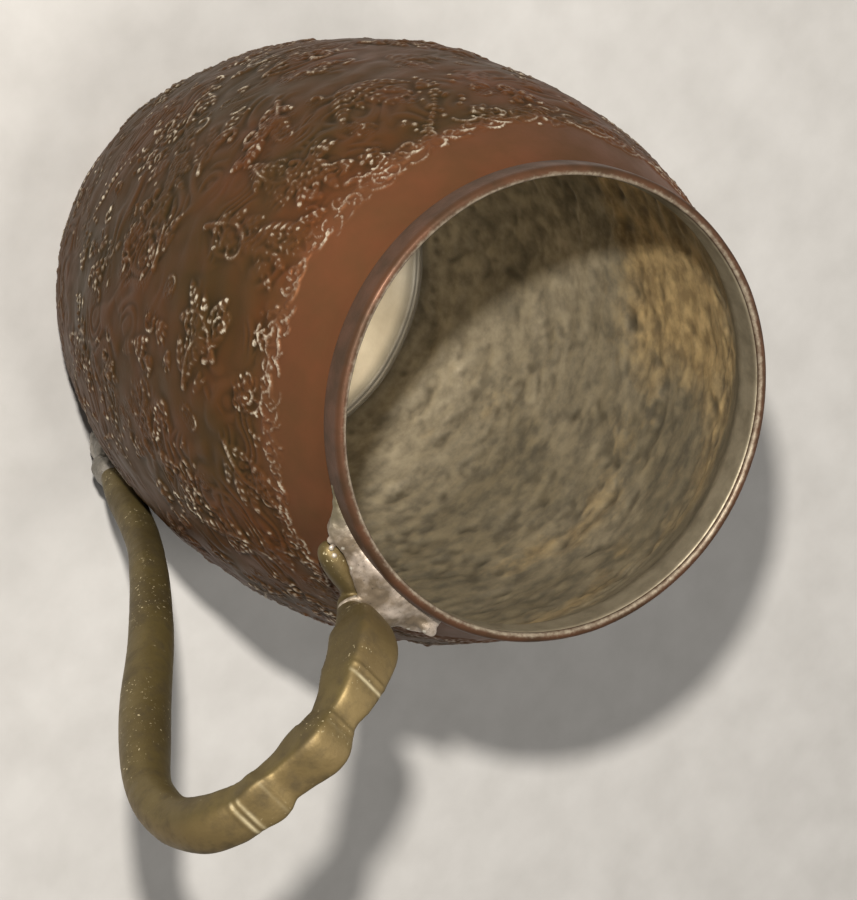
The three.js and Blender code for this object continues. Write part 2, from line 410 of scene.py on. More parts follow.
# The motifs, worn down in patches, lie over soft folds and slow swells of the sheet
zone = pattern_zone()
near_border = np.exp(-((ROW_RUN - BORDER_RUN) / (3 * MM)) ** 2)[:, None]
worn_away = np.maximum(0.5 + 0.5 * patches(0.55, 30, 24, 480), 0.95 * near_border)
creases = np.maximum(
    folds(3, 60, 34, 760, 1.2) * patches(0.60, 24, 20, 420),
    0.8 * folds(4, 56, 30, 700, 1.0) * patches(0.45, 20, 16, 340),
)
creases *= 0.25 + 0.75 * patches(0.62, 18, 14, 300)
swell = waves(46, 60, 1150)
slow_swell = waves(20, 16, 330)
ground = (0.18 * creases + 0.19 * swell + 0.30 * slow_swell) * zone + 0.06 * slow_swell
motifs = soften(relief, 0.15 * MM) * worn_away
relief_all = motifs + ground * MM
backing = soften(relief_all, 0.45 * MM)

# Fields from 0 to 1 for the copper: painted glints on the fine crests, ridges, hollows, the pattern's own
# ground, and the darker lower half
wide_mean = soften(relief_all, 0.85 * MM)
fine_crests = (motifs - soften(motifs, 0.4 * MM)) / (0.05 * MM)
fine_folds = (relief_all - soften(relief_all, 0.4 * MM)) / (0.05 * MM)
# Painted glints: the sharpest crests of the motifs, and a little of the folds, are coloured pale
painted_glint = np.clip(fine_crests - 0.8, 0, 1) + np.clip(0.8 * fine_folds - 1.0, 0, 0.5)
painted_glint = np.clip(painted_glint, 0, 1)
ridge = np.clip((relief_all - wide_mean) / (0.22 * MM), 0, 1)
hollow = np.clip((wide_mean - relief_all) / (0.15 * MM), 0, 1) * zone
pattern = np.repeat(zone, ROUND, axis=1)
granules = granules * zone
tarnish = pattern * np.clip((BORDER_HEIGHT - ROW_Z) / (0.45 * TOP), 0, 1)[:, None]


# ---------------------------------------------------------------- meshes

def make_object(name, points, faces):
    """A smooth-shaded piece in the scene, from its points and faces."""
    mesh = bpy.data.meshes.new(name)
    mesh.from_pydata([tuple(p) for p in points], [], [tuple(f) for f in faces])
    mesh.update()
    mesh.shade_smooth()
    made = bpy.data.objects.new(name, mesh)
    bpy.context.scene.collection.objects.link(made)
    return made


def turn_points(radii, heights, count):
    """Points of rings about the mug's axis; a ring has one radius and height, or one per point."""
    angles = np.arange(count) * (2 * math.pi / count)
    grids = []
    for values in (radii, heights):
        values = np.asarray(values, float)
        if values.ndim == 1:
            values = np.repeat(values[:, None], count, axis=1)
        grids.append(values)
    x = grids[0] * np.cos(angles)[None, :]
    y = grids[0] * np.sin(angles)[None, :]
    return np.stack([x, y, grids[1]], axis=-1).reshape(-1, 3)


def grid_faces(rows, count, offset=0):
    """Quads between rings that follow each other, closed round, facing outwards going up."""
    row = np.arange(rows - 1)[:, None]
    here = np.arange(count)[None, :]
    after = (here + 1) % count
    base = offset + row * count
    corners = [base + here, base + after, base + count + after, base + count + here]
    return np.stack(corners, -1).reshape(-1, 4)


def halving_faces(fine_start, coarse_start, coarse_count, upward):
    """Triangles between a ring and one with half its points."""
    faces = []
    fine_count = 2 * coarse_count
    for i in range(coarse_count):
        a = fine_start + 2 * i
        b = fine_start + 2 * i + 1
        c = fine_start + (2 * i + 2) % fine_count
        p = coarse_start + i
        q = coarse_start + (i + 1) % coarse_count
        trio = [(a, b, p), (b, q, p), (b, c, q)]
        faces.extend(trio if upward else [t[::-1] for t in trio])
    return faces


# Heights of the inner rings, from the neck down, and the outer row level with each
INNER_Z = wall_heights(INNER_ROWS, NECK_HEIGHT - 0.8 * MM)[::-1]
OUTER_ROW = np.interp(INNER_Z, ROW_Z, np.arange(ROWS)).round().astype(int)


def outer_skin():
    """Points of the wall's embossed outside and of the collar, from the foot up over the lip."""
    slope = wall_slope(ROW_Z)
    length = np.hypot(1, slope)
    radii = wall_radius(ROW_Z)[:, None] + relief_all / length[:, None]
    heights = ROW_Z[:, None] - relief_all * (slope / length)[:, None]
    heights[0] = 0.0
    collar_heights = [NECK_HEIGHT + 0.5 * MM, (NECK_HEIGHT + WALL_TOP) / 2, WALL_TOP - LIP]
    collar_radii = [NECK_RADIUS] * COLLAR_ROWS
    for bend in (0.25, 0.5):
        collar_radii.append(LIP_MIDDLE + LIP * math.cos(bend * math.pi))
        collar_heights.append(WALL_TOP - LIP + LIP * math.sin(bend * math.pi))
    wall = turn_points(radii, heights, ROUND)
    return np.concatenate([wall, turn_points(collar_radii, collar_heights, ROUND)])


def inner_skin():
    """Points of the wall's inside, from the lip down the throat to the foot."""
    throat_radii = [LIP_MIDDLE - LIP * math.cos(0.25 * math.pi)]
    throat_heights = [WALL_TOP - LIP + LIP * math.sin(0.25 * math.pi)]
    for i in range(THROAT_ROWS):
        throat_radii.append(NECK_RADIUS - WALL)
        throat_heights.append(WALL_TOP - LIP - (WALL_TOP - LIP - NECK_HEIGHT) * i / THROAT_ROWS)
    slope = wall_slope(INNER_Z)
    length = np.hypot(1, slope)
    pressed = backing[OUTER_ROW][:, ::2]
    offset = -WALL + 1.5 * pressed * np.interp(INNER_Z, [0, 6 * MM], [0, 1])[:, None]
    radii = wall_radius(INNER_Z)[:, None] + offset / length[:, None]
    heights = INNER_Z[:, None] - offset * (slope / length)[:, None]
    heights[-1] = 0.0
    throat = turn_points(throat_radii, throat_heights, INNER_ROUND)
    return np.concatenate([throat, turn_points(radii, heights, INNER_ROUND)])


def raised_wall():
    """The copper wall, embossed outside, with the same relief softened inside."""
    outer = outer_skin()
    inner = inner_skin()
    start = len(outer)
    outer_rows = len(outer) // ROUND
    inner_rows = len(inner) // INNER_ROUND
    foot = halving_faces(0, start + (inner_rows - 1) * INNER_ROUND, INNER_ROUND, False)
    faces = grid_faces(outer_rows, ROUND).tolist()
    faces += halving_faces((outer_rows - 1) * ROUND, start, INNER_ROUND, True)
    faces += grid_faces(inner_rows, INNER_ROUND, start).tolist()
    whole = make_object("raised_wall", np.concatenate([outer, inner]), faces + foot)
    # All faces are tinned but the outside, up to the collar, and the foot
    tinned = np.ones(len(whole.data.polygons), np.int32)
    tinned[:(ROWS + 1) * ROUND] = 0
    tinned[-len(foot):] = 0
    whole.data.polygons.foreach_set("material_index", tinned)
    paint_wall(whole)
    return whole


def paint_wall(whole):
    """Stores the fields that the copper and the tin read, with the hollows reversed inside and a painted
    shade below the lip.
    """
    inside = (backing - soften(backing, 1.1 * MM))[OUTER_ROW][:, ::2]
    level = INNER_Z[:, None] / TOP
    flat = 0 * inside
    dents = np.clip(inside / (0.16 * MM), 0, 1)
    # Painted shade: the top rows of the tin, under the rim band, are darkened as if in its shadow
    painted_lip_shade = np.interp(level, [0.88, 0.93], [0, 0.6])
    paint(whole, "painted_glint", painted_glint, np.clip(-inside / (0.10 * MM), 0, 1))
    paint(whole, "ridge", ridge, np.clip(-inside / (0.22 * MM), 0, 1))
    # The lip and the throat get 0.6 of the hollow field, a painted shade
    paint(whole, "hollow", hollow, np.maximum(dents, painted_lip_shade), 0.6)
    paint(whole, "granules", granules, flat)
    paint(whole, "pattern", pattern, flat)
    paint(whole, "tarnish", tarnish, flat)
    paint(whole, "worn", 0 * relief, worn_inside(level))
    # The tin's dark grey clouds thin out towards the bottom
    paint(whole, "dark_cloud_share", 0 * relief, np.interp(level, [0.12, 0.32], [0.15, 1]) + flat)


def worn_inside(level):
    """Where the tin has worn away: mostly a broad patch on the side away from the handle."""
    angle = COLUMN_ANGLE[None, ::2]
    middle = math.radians(182)
    turn = np.abs((angle - middle + math.pi) % (2 * math.pi) - math.pi)
    side = np.clip(2.5 - turn / math.radians(30), 0.35, 1)
    return side * np.interp(level, [0.25, 0.55, 0.88, 0.95], [0, 1, 1, 0])


def paint(whole, name, outside, inside, lip=0.0):
    """Stores a field for the wall's outside and inside, with one value for the lip and throat."""
    values = np.full(len(whole.data.vertices), lip, np.float32)
    values[:ROWS * ROUND] = outside.reshape(-1)
    values[ROWS * ROUND:(ROWS + COLLAR_ROWS) * ROUND] = 0
    values[-INNER_ROWS * INNER_ROUND:] = inside.reshape(-1)
    store(whole, name, values)


# Section of the rim band in millimetres: radius less the band's own, height less the top,
# and how worn the metal is there
BAND_SECTION = [
    (-0.50, -4.80, 0.0),
    (-0.16, -4.80, 0.3),
    (-0.04, -4.72, 0.5),
    (0.00, -4.55, 0.1),
    (0.02, -3.60, 0.0),
    (0.02, -2.40, 0.0),
    (0.00, -1.50, 0.0),
    (-0.03, -0.95, 0.05),
    (-0.12, -0.60, 0.1),
    (-0.28, -0.32, 0.15),
    (-0.50, -0.12, 0.25),
    (-0.75, -0.02, 0.35),
    (-1.00, 0.00, 0.5),
    (-1.22, -0.04, 0.85),
    (-1.42, -0.14, 1.0),
    (-1.55, -0.32, 0.8),
    (-1.60, -0.55, 0.4),
    (-1.57, -0.74, 0.2),
    (-1.40, -0.80, 0.0),
    (-0.50, -0.80, 0.0),
]


def uneven_ring(count, most):
    """A gentle random wander round the mug, between about -1 and 1."""
    angles = np.arange(count) * 2 * math.pi / count
    wander = np.zeros(count)
    for _ in range(16):
        turns = int(RANDOM.integers(2, most))
        wander += np.sin(turns * angles + RANDOM.uniform(0, 2 * math.pi)) / (3 + 0.4 * turns)
    return wander / np.abs(wander).max()


def rim_ring():
    """The band round the collar, folded inwards over the edge of the wall, a little dented."""
    count = 720
    fine = 3
    section = np.array(BAND_SECTION)
    along = np.arange(len(section) * fine) / fine
    closed = np.vstack([section, section[:1]])
    steps = np.arange(len(closed))
    profile = np.stack([np.interp(along, steps, closed[:, i]) for i in range(3)], -1)
    depth = -BAND_SECTION[0][1]
    loose = np.clip((profile[:, 1] + depth) / depth, 0, 1)[:, None]
    sway = uneven_ring(count, 9)
    nicks = uneven_ring(count, 90)
    radii = BAND_RADIUS + profile[:, 0, None] * MM
    radii = radii + loose * (0.05 * sway + 0.035 * nicks)[None, :] * MM
    lift = 0.05 * np.roll(sway, 90) + 0.03 * np.roll(nicks, 7) - 0.08
    heights = TOP + profile[:, 1, None] * MM
    heights = heights + loose * lift[None, :] * MM
    rows = len(profile)
    faces = grid_faces(rows, count).tolist()
    last = (rows - 1) * count
    for i in range(count):
        j = (i + 1) % count
        faces.append((last + i, last + j, j, i))
    made = make_object("folded_rim_band", turn_points(radii, heights, count), faces)
    store(made, "worn", np.repeat(profile[:, 2], count))
    return made


def bottom_plate():
    """The flat bottom: a plate with a turned-up edge and soft hammer marks."""
    radius = disc_high.x + 0.33 * MM
    rings = 45
    count = 192
    reach = np.linspace(0, 1, rings + 1)[1:, None]
    angles = np.arange(count) * 2 * math.pi / count
    x = reach * radius * np.cos(angles)[None, :]
    y = reach * radius * np.sin(angles)[None, :]
    marks = np.sin(420 * x + 90 * y) + np.sin(380 * y - 140 * x) + np.sin(250 * (x + y))
    dents = 0.05 * MM * marks
    rise = 0.35 * MM
    bowl = rise * (1 - reach ** 2)
    turned_up = 0.9 * MM * np.clip((reach - 0.965) / 0.035, 0, 1) ** 2
    upper = disc_high.z + dents + bowl + turned_up
    lower = np.minimum(0.4 * (dents + 0.15 * MM) + 0.6 * bowl, 0.5 * MM) * (reach < 0.93)
    lower = np.clip(lower, 0, None)
    centres = [[0, 0, disc_high.z + rise], [0, 0, 0.25 * MM]]
    top_points = np.stack([x, y, upper], -1).reshape(-1, 3)
    low_points = np.stack([x, y, lower], -1).reshape(-1, 3)
    points = np.concatenate([top_points, low_points, centres])
    faces = [f[::-1] for f in grid_faces(rings, count).tolist()]
    start = len(top_points)
    faces += grid_faces(rings, count, start).tolist()
    centre_top = len(points) - 2
    centre_low = len(points) - 1
    edge = (rings - 1) * count
    for i in range(count):
        j = (i + 1) % count
        faces.append((centre_top, i, j))
        faces.append((centre_low, start + j, start + i))
        faces.append((edge + i, start + edge + i, start + edge + j, edge + j))
    whole = make_object("bottom_plate", points, faces)
    share = np.hypot(points[:, 0], points[:, 1]) / radius
    # Darker towards the plate's edge: grime in the joint and a painted shade in the corner with the wall
    store(whole, "edge_grime_and_shade", np.clip((share - 0.90) / 0.07, 0, 1))
    return whole


# Handle stations from the foot to the neck, in millimetres in the frame's XZ plane:
# x, z, half width, half depth and squareness of the section
HANDLE_STATIONS = [
    (41.9, 10.5, 1.4, 1.2, 2.0),
    (44.6, 22.0, 2.6, 2.6, 2.0),
    (50.6, 44.1, 3.0, 2.9, 2.0),
    (61.3, 65.8, 3.5, 3.5, 2.0),
    (73.9, 85.7, 4.0, 4.0, 2.0),
    (80.8, 101.0, 3.6, 3.4, 2.0),
    (81.0, 113.3, 3.8, 3.7, 2.2),
    (79.0, 118.5, 4.1, 3.9, 2.4),
    (76.0, 122.2, 4.1, 3.3, 2.8),
    (73.4, 124.2, 3.65, 2.5, 4.5),
    (70.6, 125.7, 3.95, 2.1, 6.0),
    (68.0, 125.7, 3.15, 2.3, 6.0),
    (65.8, 126.3, 3.25, 2.45, 6.0),
    (63.0, 126.9, 3.55, 3.15, 6.0),
    (60.6, 127.5, 3.7, 3.3, 6.0),
    (58.0, 126.4, 3.1, 2.8, 6.0),
    (56.8, 125.8, 2.75, 2.65, 6.0),
    (55.4, 125.1, 2.7, 2.95, 6.0),
    (53.0, 124.2, 3.2, 3.4, 6.0),
    (50.5, 122.6, 3.8, 3.6, 6.0),
    (48.2, 121.1, 4.05, 3.75, 6.0),
    (46.4, 119.6, 4.3, 3.8, 6.0),
    (44.9, 117.5, 4.15, 3.8, 6.0),
    (43.4, 114.2, 3.2, 3.5, 4.0),
    (43.1, 112.2, 2.65, 2.9, 3.0),
    (42.5, 110.2, 2.3, 2.4, 2.2),
    (40.8, 107.0, 2.1, 2.1, 2.0),
]

# Fine raised lines across the bar: x, z and height in millimetres, and how bare the metal is
HANDLE_LINES = [
    (74.1, 123.7, 0.16, 0.9),
    (73.2, 124.3, 0.16, 0.7),
    (69.6, 125.8, 0.16, 0.15),
    (57.4, 126.1, 0.12, 0.15),
    (50.4, 122.5, 0.20, 1.0),
]


def smooth_stations(stations, per_span):
    """Values between stations on curves that pass through them without overshoot."""
    table = np.array(stations, float)
    chord = np.concatenate([[0], np.cumsum(np.hypot(*np.diff(table[:, :2], axis=0).T))])
    tangent = np.gradient(table, chord, axis=0)
    out = []
    for i in range(len(table) - 1):
        span = chord[i + 1] - chord[i]
        for k in range(per_span):
            t = k / per_span
            a = 2 * t ** 3 - 3 * t ** 2 + 1
            b = t ** 3 - 2 * t ** 2 + t
            c = -2 * t ** 3 + 3 * t ** 2
            d = t ** 3 - t ** 2
            start = a * table[i] + b * span * tangent[i]
            out.append(start + c * table[i + 1] + d * span * tangent[i + 1])
    out.append(table[-1])
    return np.array(out)


def capped_faces(rows, count):
    """Faces of a tube of rings, with a flat cap at each end."""
    faces = grid_faces(rows, count).tolist()
    faces.append(list(range(count))[::-1])
    faces.append([(rows - 1) * count + i for i in range(count)])
    return faces


def tube_mesh(name, centres, across, depths, half_widths, half_depths, powers, count):
    """A closed tube of rounded-box sections, given per ring."""
    angles = (np.arange(count) + 0.5) * 2 * math.pi / count
    cosine = np.cos(angles)
    sine = np.sin(angles)
    rings = []
    for centre, wide, deep, w, d, power in zip(centres, across, depths, half_widths, half_depths, powers):
        reach = (np.abs(cosine) ** power + np.abs(sine) ** power) ** (-1 / power)
        sideways = np.outer(w * reach * cosine, wide)
        rings.append(centre[None, :] + sideways + np.outer(d * reach * sine, deep))
    return make_object(name, np.concatenate(rings), capped_faces(len(rings), count))


def handle_bar():
    """The cast bar, from its lower tip to the neck under the rim."""
    stations = smooth_stations(HANDLE_STATIONS, 14)
    flat = np.zeros(len(stations))
    centres = np.stack([stations[:, 0], flat, stations[:, 1]], -1) * MM
    along = np.gradient(centres, axis=0)
    for _ in range(10):
        along[1:-1] = (along[:-2] + 2 * along[1:-1] + along[2:]) / 4
    along /= np.linalg.norm(along, axis=1)[:, None]
    depths = np.stack([-along[:, 2], flat, along[:, 0]], -1)
    across = np.repeat([[0.0, 1.0, 0.0]], len(along), axis=0)
    run = np.concatenate([[0], np.cumsum(np.linalg.norm(np.diff(centres, axis=0), axis=1))])
    waver = 1 + 0.010 * np.sin(run / (7 * MM)) + 0.006 * np.sin(run / (2.3 * MM) + 1.0)
    widths = stations[:, 2] * MM * waver
    thick = stations[:, 3] * MM * waver
    line_width = 0.28 * MM
    for x, z, height, _bare in HANDLE_LINES:
        nearest = np.argmin(np.hypot(centres[:, 0] - x * MM, centres[:, 2] - z * MM))
        thick = thick + height * MM * np.exp(-((run - run[nearest]) / line_width) ** 2)
    return tube_mesh("bar", centres, across, depths, widths, thick, stations[:, 4], 72)


def tongue_mesh():
    """The rounded tongue that lies sideways along the neck."""
    height = 106.4 * MM
    thick = 2.1 * MM
    gap = 0.3 * MM
    radius = float(wall_radius(height)) + thick + gap
    part = np.linspace(0, 1, 40)
    bend = np.radians(6 - 21 * part)
    across = np.stack([np.cos(bend), np.sin(bend), np.zeros(len(bend))], -1)
    centres = across * radius
    centres[:, 2] = height + 0.8 * MM * part
    depths = np.repeat([[0.0, 0.0, 1.0]], len(part), axis=0)
    half = thick * np.sqrt(np.clip(1 - (2 * part - 1) ** 4, 0.02, None))
    return tube_mesh("tongue", centres, across, depths, half, half * 1.05, np.full(len(part), 2.2), 40)


def blob(centre, sizes):
    """A smooth ball of solder stretched to sizes, in millimetres like its centre."""
    mesh = bpy.data.meshes.new("solder_part")
    made = bpy.data.objects.new("solder_part", mesh)
    bpy.context.scene.collection.objects.link(made)
    ball = bmesh.new()
    bmesh.ops.create_icosphere(ball, subdivisions=4, radius=1.0)
    stretch = Matrix.Diagonal((*(size * MM for size in sizes), 1.0))
    ball.transform(Matrix.Translation(Vector(centre) * MM) @ stretch)
    ball.to_mesh(mesh)
    ball.free()
    return made


def fuse(name, parts, voxel, smoothing):
    """Joins closed meshes into one skin and smooths it."""
    bpy.ops.object.select_all(action="DESELECT")
    for part in parts:
        part.select_set(True)
    bpy.context.view_layer.objects.active = parts[0]
    bpy.ops.object.join()
    whole = bpy.context.view_layer.objects.active
    whole.name = name
    remesh = whole.modifiers.new("skin", "REMESH")
    remesh.mode = "VOXEL"
    remesh.voxel_size = voxel
    if smoothing:
        smooth = whole.modifiers.new("smooth", "SMOOTH")
        smooth.factor = 0.5
        smooth.iterations = smoothing
    graph = bpy.context.evaluated_depsgraph_get()
    mesh = bpy.data.meshes.new_from_object(whole.evaluated_get(graph))
    whole.modifiers.clear()
    whole.data = mesh
    mesh.name = name
    mesh.shade_smooth()
    return whole


def lump(whole, amount, scales):
    """Moves a skin's points in and out by noise, for a poured or cast surface."""
    mesh = whole.data
    points = vertex_values(whole, "co")
    normals = vertex_values(whole, "normal")
    shift = np.zeros(len(points))
    for size, share in scales:
        for i, point in enumerate(points):
            shift[i] += share * noise.noise(Vector(point) / size)
    points = points + normals * (shift * amount)[:, None]
    mesh.vertices.foreach_set("co", points.astype(np.float32).reshape(-1))
    mesh.update()


# Middle of the loop that the handle makes, in millimetres
HANDLE_MIDDLE = (57.0, 0.0, 92.0)


def vertex_values(whole, name):
    """A vector of every vertex, as rows of three."""
    values = np.empty(len(whole.data.vertices) * 3, np.float32)
    whole.data.vertices.foreach_get(name, values)
    return values.reshape(-1, 3)


def store(whole, name, values):
    """Keeps one number for each vertex, for a material to read."""
    layer = whole.data.attributes.new(name, "FLOAT", "POINT")
    layer.data.foreach_set("value", values.astype(np.float32))


def cast_handle():
    """The bar and the tongue in one casting, with painted light on the outside of the loop."""
    whole = fuse("cast_handle", [handle_bar(), tongue_mesh()], 0.22 * MM, 2)
    lump(whole, 0.07 * MM, [(6 * MM, 1.0), (1.5 * MM, 0.35)])
    points = vertex_values(whole, "co")
    normals = vertex_values(whole, "normal")
    outward = points - np.array(HANDLE_MIDDLE) * MM
    outward[:, 1] = 0
    outward /= np.linalg.norm(outward, axis=1)[:, None]
    # Painted light: one where the skin faces out of the loop towards the light, nothing on the shaded
    # inside
    painted_lit_side = np.clip(1.5 * (normals * outward).sum(axis=1) - 0.45, 0, 1)
    lines = np.zeros(len(points))
    for x, z, _height, bare in HANDLE_LINES:
        from_line = points - np.array([x, 0, z]) * MM
        slant = np.array([-(z - HANDLE_MIDDLE[2]), 0, x - HANDLE_MIDDLE[0]])
        slant = slant / np.linalg.norm(slant)
        near = np.linalg.norm(from_line[:, [0, 2]], axis=1) < 7 * MM
        lines = np.maximum(lines, bare * near * np.exp(-((from_line @ slant) / (0.25 * MM)) ** 2))
    store(whole, "painted_lit_side", painted_lit_side)
    store(whole, "lines", lines * painted_lit_side)
    return whole


def polar(angle, radius, height):
    """The spot at an angle round the mug's axis."""
    return Vector((radius * math.cos(angle), radius * math.sin(angle), height))


# Outline of the rim solder going round the neck, angle in degrees and sizes in millimetres:
# height of its edge on the band, then radius, height and underside height of its outer edge
SOLDER_OUTLINE = [
    (-29.0, 111.0, 35.8, 110.9, 110.3),
    (-26.0, 111.2, 36.0, 110.8, 109.8),
    (-22.0, 111.3, 36.9, 110.4, 109.0),
    (-18.0, 111.4, 38.2, 109.8, 107.8),
    (-15.0, 111.5, 38.2, 110.0, 107.8),
    (-12.0, 111.8, 37.9, 110.3, 108.2),
    (-8.0, 112.4, 38.5, 110.3, 108.2),
    (-4.0, 113.0, 39.3, 110.2, 108.2),
    (0.0, 113.0, 40.2, 110.4, 108.3),
    (4.0, 112.8, 40.8, 110.1, 107.4),
    (8.0, 112.5, 40.5, 109.4, 106.6),
    (11.0, 112.2, 39.5, 109.2, 106.8),
    (14.0, 112.0, 39.2, 109.5, 107.0),
    (16.5, 111.7, 38.6, 109.6, 107.6),
    (18.0, 111.3, 37.4, 110.0, 108.6),
]


def solder_skin():
    """The smooth body of the rim solder, from its outline."""
    outline = np.array(SOLDER_OUTLINE)
    angles = np.linspace(outline[0, 0], outline[-1, 0], 70)
    edge, reach, height, under = [np.interp(angles, outline[:, 0], outline[:, i]) for i in range(1, 5)]
    rows = []
    inside = NECK_RADIUS / MM - 0.2
    band = BAND_RADIUS / MM
    # e, r, h and u are the outline's values at the angle, and each section goes round once
    for angle, e, r, h, u in zip(np.radians(angles), edge, reach, height, under):
        section = [
            (inside, e),
            (band + 0.1, e),
            (band + 0.5 * (r - band), (e + h) / 2 + 0.25),
            (r - 0.2, h + 0.25),
            (r, h - 0.2),
            (r - 0.3, (h + u) / 2),
            (r - 0.9, u),
            (inside + 0.6, u - 0.6),
            (inside, u - 0.6),
        ]
        rows.append([tuple(polar(angle, a * MM, b * MM)) for a, b in section])
    faces = capped_faces(len(rows), len(rows[0]))
    points = [p for row in rows for p in row]
    return make_object("solder_part", points, [f[::-1] for f in faces])


def neck_ring():
    """A thin bead of solder round the handle's neck, where it meets the tongue."""
    count = 40
    sides = 14
    centre = np.array([41.5, 0.0, 109.3]) * MM
    along = np.array([0.45, 0.0, 0.89])
    depth = np.array([-0.89, 0.0, 0.45])
    across = np.array([0.0, 1.0, 0.0])
    points = []
    faces = []
    for i in range(count):
        turn = 2 * math.pi * i / count
        out = math.cos(turn) * depth + math.sin(turn) * across
        here = i * sides
        after = (i + 1) % count * sides
        for k in range(sides):
            bend = 2 * math.pi * k / sides
            reach = (1.95 + 0.5 * math.cos(bend)) * MM
            points.append(tuple(centre + out * reach + along * 0.42 * MM * math.sin(bend)))
            beside = (k + 1) % sides
            faces.append((here + k, here + beside, after + beside, after + k))
    return make_object("solder_part", points, faces)


def rim_solder():
    """Solder run between the rim band, the neck and the handle's tongue."""
    last_drop = blob(polar(math.radians(15.5), 37.3, 110.7), (1.1, 2.2, 0.9))
    parts = [solder_skin(), neck_ring(), last_drop]
    for angle, radius, height in ((-16.0, 38.3, 109.3), (-14.2, 38.6, 109.0), (-12.3, 38.8, 108.9)):
        parts.append(blob(polar(math.radians(angle), radius, height), (0.5, 0.55, 0.4)))
    whole = fuse("rim_solder_heap", parts, 0.2 * MM, 3)
    lump(whole, 0.34 * MM, [(3.6 * MM, 1.0), (1.2 * MM, 0.45)])
    points = vertex_values(whole, "co")
    angle = np.degrees(np.arctan2(points[:, 1], points[:, 0]))
    store(whole, "aged", np.interp(angle, [-21, -15], [0.85, 0.0]))
    return whole


def foot_solder():
    """Solder round the lower tip of the handle."""
    parts = [
        blob((40.4, 0, 10.0), (2.3, 3.6, 5.2)),
        blob((42.9, 0.0, 14.8), (2.7, 3.2, 4.6)),
        blob((39.6, -1.0, 6.8), (1.8, 2.6, 2.8)),
    ]
    whole = fuse("foot_solder_heap", parts, 0.22 * MM, 4)
    lump(whole, 0.35 * MM, [(2.6 * MM, 1.0), (0.9 * MM, 0.4)])
    return whole


# ---------------------------------------------------------------- materials

def new_material(name):
    """A material with its node tree and its main shader."""
    material = bpy.data.materials.new(name)
    material.use_nodes = True
    tree = material.node_tree
    return material, tree, tree.nodes["Principled BSDF"]


def node(tree, kind, values=None, **settings):
    """A new node with its settings and the values of its inputs."""
    made = tree.nodes.new(kind)
    for key, value in settings.items():
        setattr(made, key, value)
    for key, value in (values or {}).items():
        made.inputs[key].default_value = value
    return made


def feed(tree, source, socket):
    """Gives a socket another node's output, a colour or a number."""
    if isinstance(source, bpy.types.NodeSocket):
        tree.links.new(source, socket)
    elif isinstance(source, tuple):
        socket.default_value = (*source, 1.0)
    else:
        socket.default_value = source


def noise_field(tree, scale, detail=4.0, roughness=0.55, stretch=None):
    """Noise over the piece; scale is in patches per metre."""
    source = node(tree, "ShaderNodeTexCoord").outputs["Object"]
    if stretch:
        mapping = node(tree, "ShaderNodeMapping", {"Scale": stretch})
        tree.links.new(source, mapping.inputs["Vector"])
        source = mapping.outputs["Vector"]
    values = {"Scale": scale, "Detail": detail, "Roughness": roughness}
    made = node(tree, "ShaderNodeTexNoise", values)
    tree.links.new(source, made.inputs["Vector"])
    return made.outputs["Fac"]


def spread(tree, source, low, high, to_low=0.0, to_high=1.0):
    """Source stretched so that low to high becomes to_low to to_high, held at the ends."""
    values = {"From Min": low, "From Max": high, "To Min": to_low, "To Max": to_high}
    made = node(tree, "ShaderNodeMapRange", values)
    tree.links.new(source, made.inputs["Value"])
    return made.outputs["Result"]


def blend_colour(tree, factor, first, second):
    """The first colour turned towards the second by a factor."""
    made = node(tree, "ShaderNodeMix", data_type="RGBA")
    feed(tree, factor, made.inputs[0])
    feed(tree, first, made.inputs[6])
    feed(tree, second, made.inputs[7])
    return made.outputs[2]


def calculate(tree, operation, first, second):
    """A sum, difference, product or the larger of two values."""
    made = node(tree, "ShaderNodeMath", operation=operation)
    feed(tree, first, made.inputs[0])
    feed(tree, second, made.inputs[1])
    return made.outputs[0]


def stain(tree, colour, mask, share, tint):
    """A colour turned towards a tint by a share of a mask."""
    return blend_colour(tree, calculate(tree, "MULTIPLY", mask, share), colour, tint)


def field_value(tree, name):
    """A field stored on the piece's points."""
    return node(tree, "ShaderNodeAttribute", attribute_name=name).outputs["Fac"]


def bumps(tree, *layers):
    """Fine roughness from layers of height, each with its depth in metres and its strength."""
    normal = None
    for height, depth, strength in layers:
        made = node(tree, "ShaderNodeBump", {"Distance": depth, "Strength": strength})
        tree.links.new(height, made.inputs["Height"])
        if normal is not None:
            tree.links.new(normal, made.inputs["Normal"])
        normal = made.outputs["Normal"]
    return normal


def coat(tree, shader, colour, metallic, rough, normal):
    """Gives a shader its colour, how metallic it is, its roughness and its bumps."""
    tree.links.new(colour, shader.inputs["Base Color"])
    shader.inputs["Metallic"].default_value = metallic
    tree.links.new(rough, shader.inputs["Roughness"])
    tree.links.new(normal, shader.inputs["Normal"])


def cells(tree, scale):
    """Distance from the nearest of many scattered points; scale is in points per metre."""
    made = node(tree, "ShaderNodeTexVoronoi", {"Scale": scale})
    tree.links.new(node(tree, "ShaderNodeTexCoord").outputs["Object"], made.inputs["Vector"])
    return made.outputs["Distance"]


def scratches(tree, scale, stretch, low=0.62, high=0.70):
    """Thin streaks, one where there is a scratch."""
    streak = noise_field(tree, scale, 2.0, 0.5, stretch)
    return spread(tree, streak, low, high)


def pointed(tree, low, high):
    """One on sharp outer edges, nothing on flat metal."""
    return spread(tree, node(tree, "ShaderNodeNewGeometry").outputs["Pointiness"], low, high)


